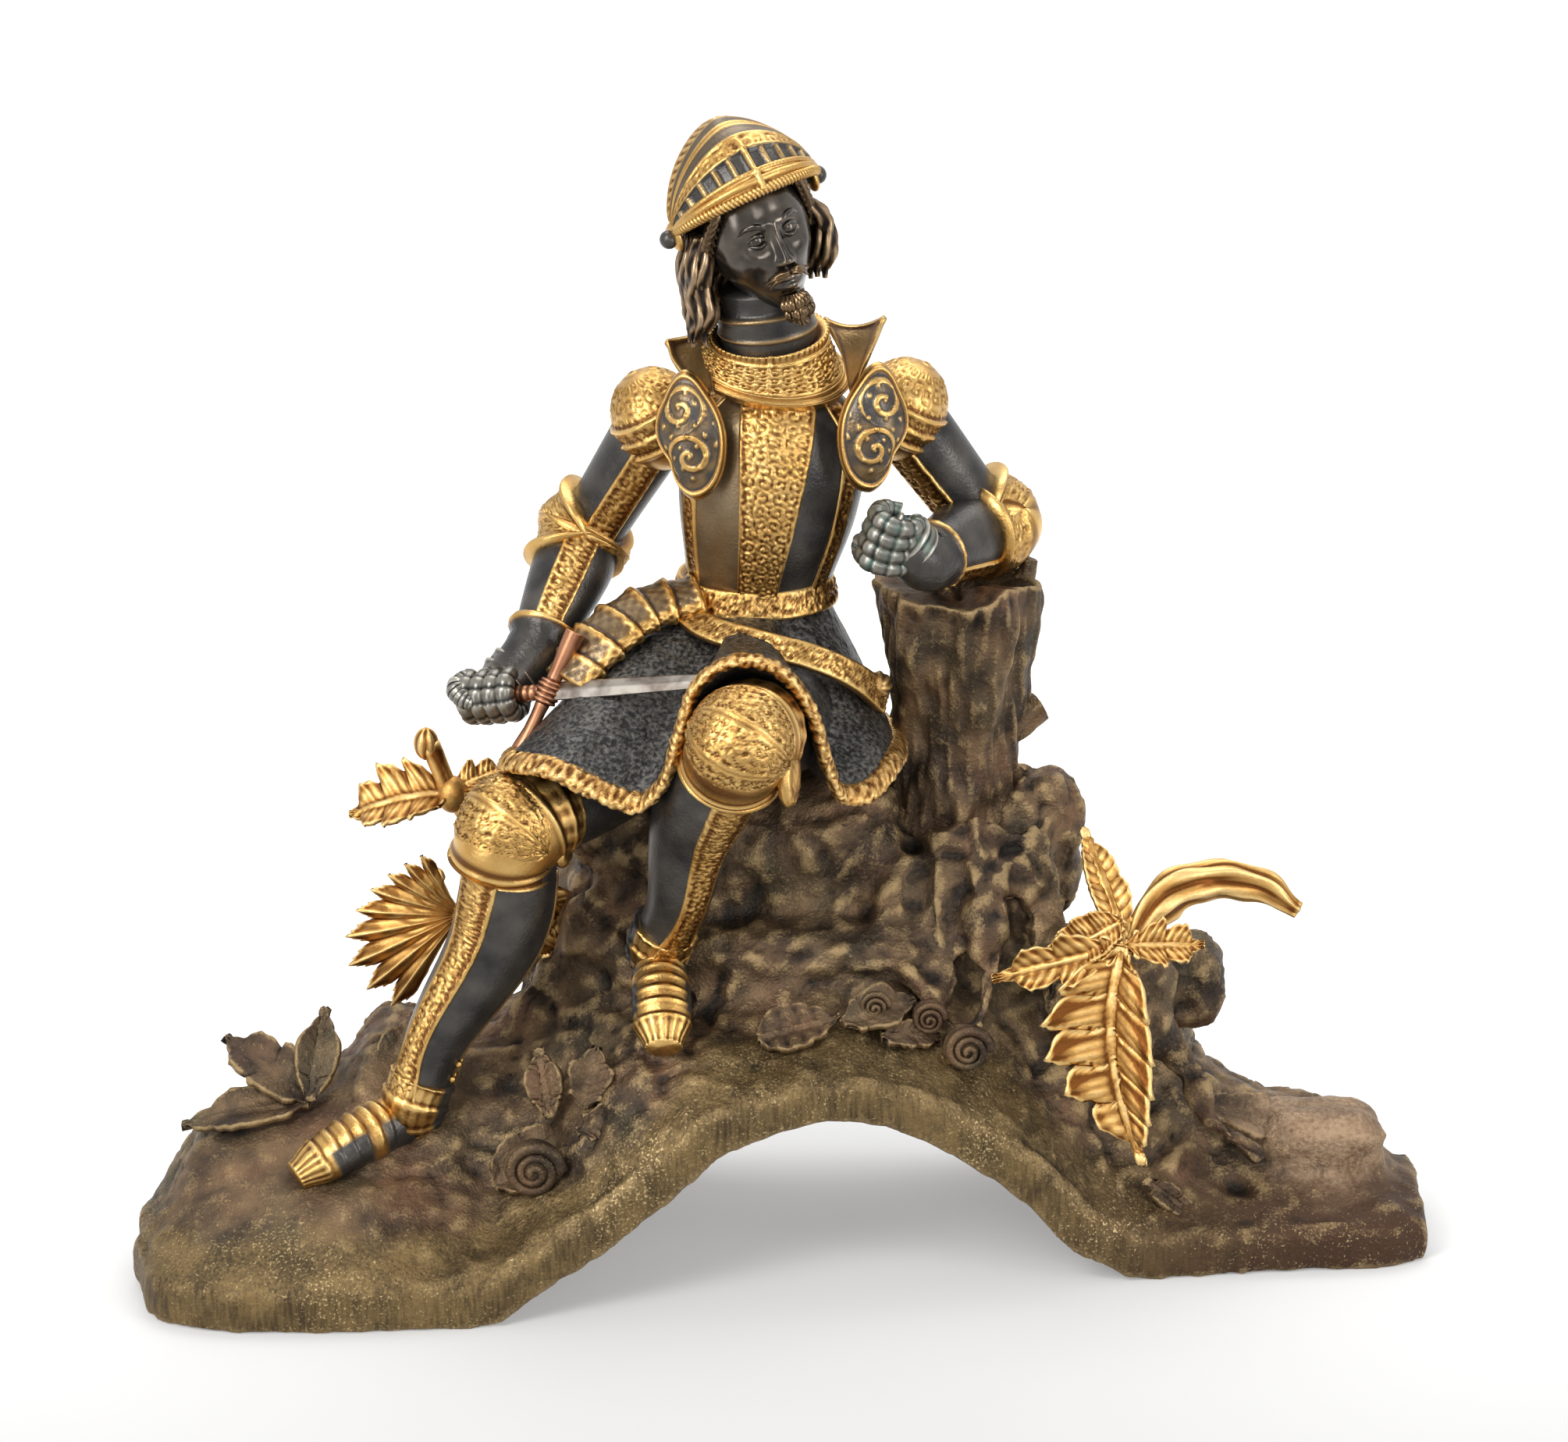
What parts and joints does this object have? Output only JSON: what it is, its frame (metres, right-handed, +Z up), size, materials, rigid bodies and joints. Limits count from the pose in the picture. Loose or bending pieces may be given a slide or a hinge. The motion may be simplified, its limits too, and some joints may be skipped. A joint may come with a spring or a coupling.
{
  "type": "seated knight statue",
  "caption": "Bronze figure of a knight in half armour, seated on a rocky arched base with a sword and gilt leaf sprays.",
  "frame": {"origin": "on the table, under the middle of the base's bounding box", "axes": "+X to the knight's left along the base, +Y to the back of the figure, +Z up"},
  "size_m": [0.406, 0.156, 0.3572],
  "materials": {
    "earth_bronze": "brown patinated bronze, rubbed to gold on high points",
    "dark_bronze": "near-black patinated bronze, satin, with gilt armour bands",
    "blade_steel": "dull steel blade with a copper-brown hilt",
    "gilt_bronze": "matte fire gilding over chased bronze"
  },
  "bodies": {
    "root": {"rocky_base": "earth_bronze", "knight": "dark_bronze", "sword": "blade_steel", "leaf_spray_left": "gilt_bronze", "leaf_spray_right": "gilt_bronze"}
  },
  "joints": []
}
